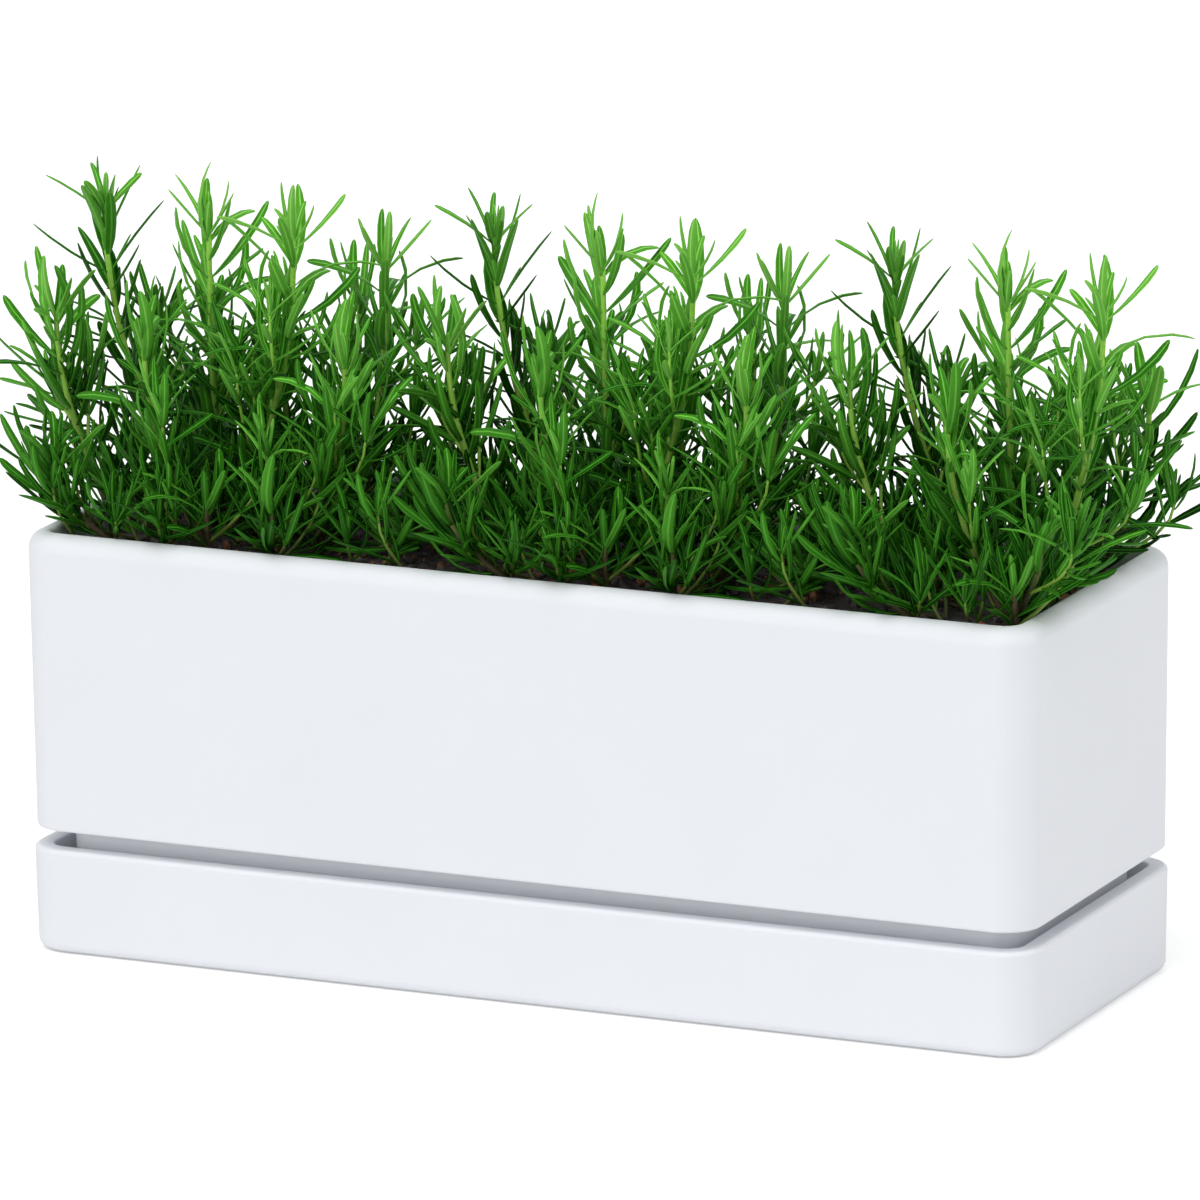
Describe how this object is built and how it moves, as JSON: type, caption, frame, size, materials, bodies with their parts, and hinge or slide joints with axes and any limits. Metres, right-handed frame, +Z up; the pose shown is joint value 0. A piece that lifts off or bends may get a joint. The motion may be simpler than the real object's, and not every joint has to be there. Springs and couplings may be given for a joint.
{
  "type": "herb planter",
  "caption": "Long indoor herb planter: a thick-walled white pot whose narrower foot sits in a deep drip tray, filled with soil and planted with a row of bushy rosemary.",
  "frame": {"origin": "on the table, at the middle of the tray's flat underside", "axes": "+X along the planter to its right end as seen from the front, +Y from front to back, +Z up"},
  "size_m": [0.4614, 0.1552, 0.2807],
  "materials": {
    "white_plastic": "satin",
    "soil": "matte",
    "rosemary": "matte"
  },
  "bodies": {
    "tray": {"drip_tray": "white_plastic"},
    "planter": {"planter_pot": "white_plastic", "potting_soil": "soil", "rosemary_left_sprig_01": "rosemary", "rosemary_left_sprig_02": "rosemary", "rosemary_left_sprig_03": "rosemary", "rosemary_left_sprig_04": "rosemary", "rosemary_left_sprig_05": "rosemary", "rosemary_left_sprig_06": "rosemary", "rosemary_left_sprig_07": "rosemary", "rosemary_left_sprig_08": "rosemary", "rosemary_left_sprig_09": "rosemary", "rosemary_left_sprig_10": "rosemary", "rosemary_left_sprig_11": "rosemary", "rosemary_left_sprig_12": "rosemary", "rosemary_left_sprig_13": "rosemary", "rosemary_middle_sprig_01": "rosemary", "rosemary_middle_sprig_02": "rosemary", "rosemary_middle_sprig_03": "rosemary", "rosemary_middle_sprig_04": "rosemary", "rosemary_middle_sprig_05": "rosemary", "rosemary_middle_sprig_06": "rosemary", "rosemary_middle_sprig_07": "rosemary", "rosemary_middle_sprig_08": "rosemary", "rosemary_middle_sprig_09": "rosemary", "rosemary_middle_sprig_10": "rosemary", "rosemary_middle_sprig_11": "rosemary", "rosemary_middle_sprig_12": "rosemary", "rosemary_middle_sprig_13": "rosemary", "rosemary_right_sprig_01": "rosemary", "rosemary_right_sprig_02": "rosemary", "rosemary_right_sprig_03": "rosemary", "rosemary_right_sprig_04": "rosemary", "rosemary_right_sprig_05": "rosemary", "rosemary_right_sprig_06": "rosemary", "rosemary_right_sprig_07": "rosemary", "rosemary_right_sprig_08": "rosemary", "rosemary_right_sprig_09": "rosemary", "rosemary_right_sprig_10": "rosemary", "rosemary_right_sprig_11": "rosemary"}
  },
  "joints": [
    {"name": "pot_lift", "type": "slide", "parent": "tray", "child": "planter", "axis": [0, 0, 1], "range_m": [0, 0.06]}
  ]
}
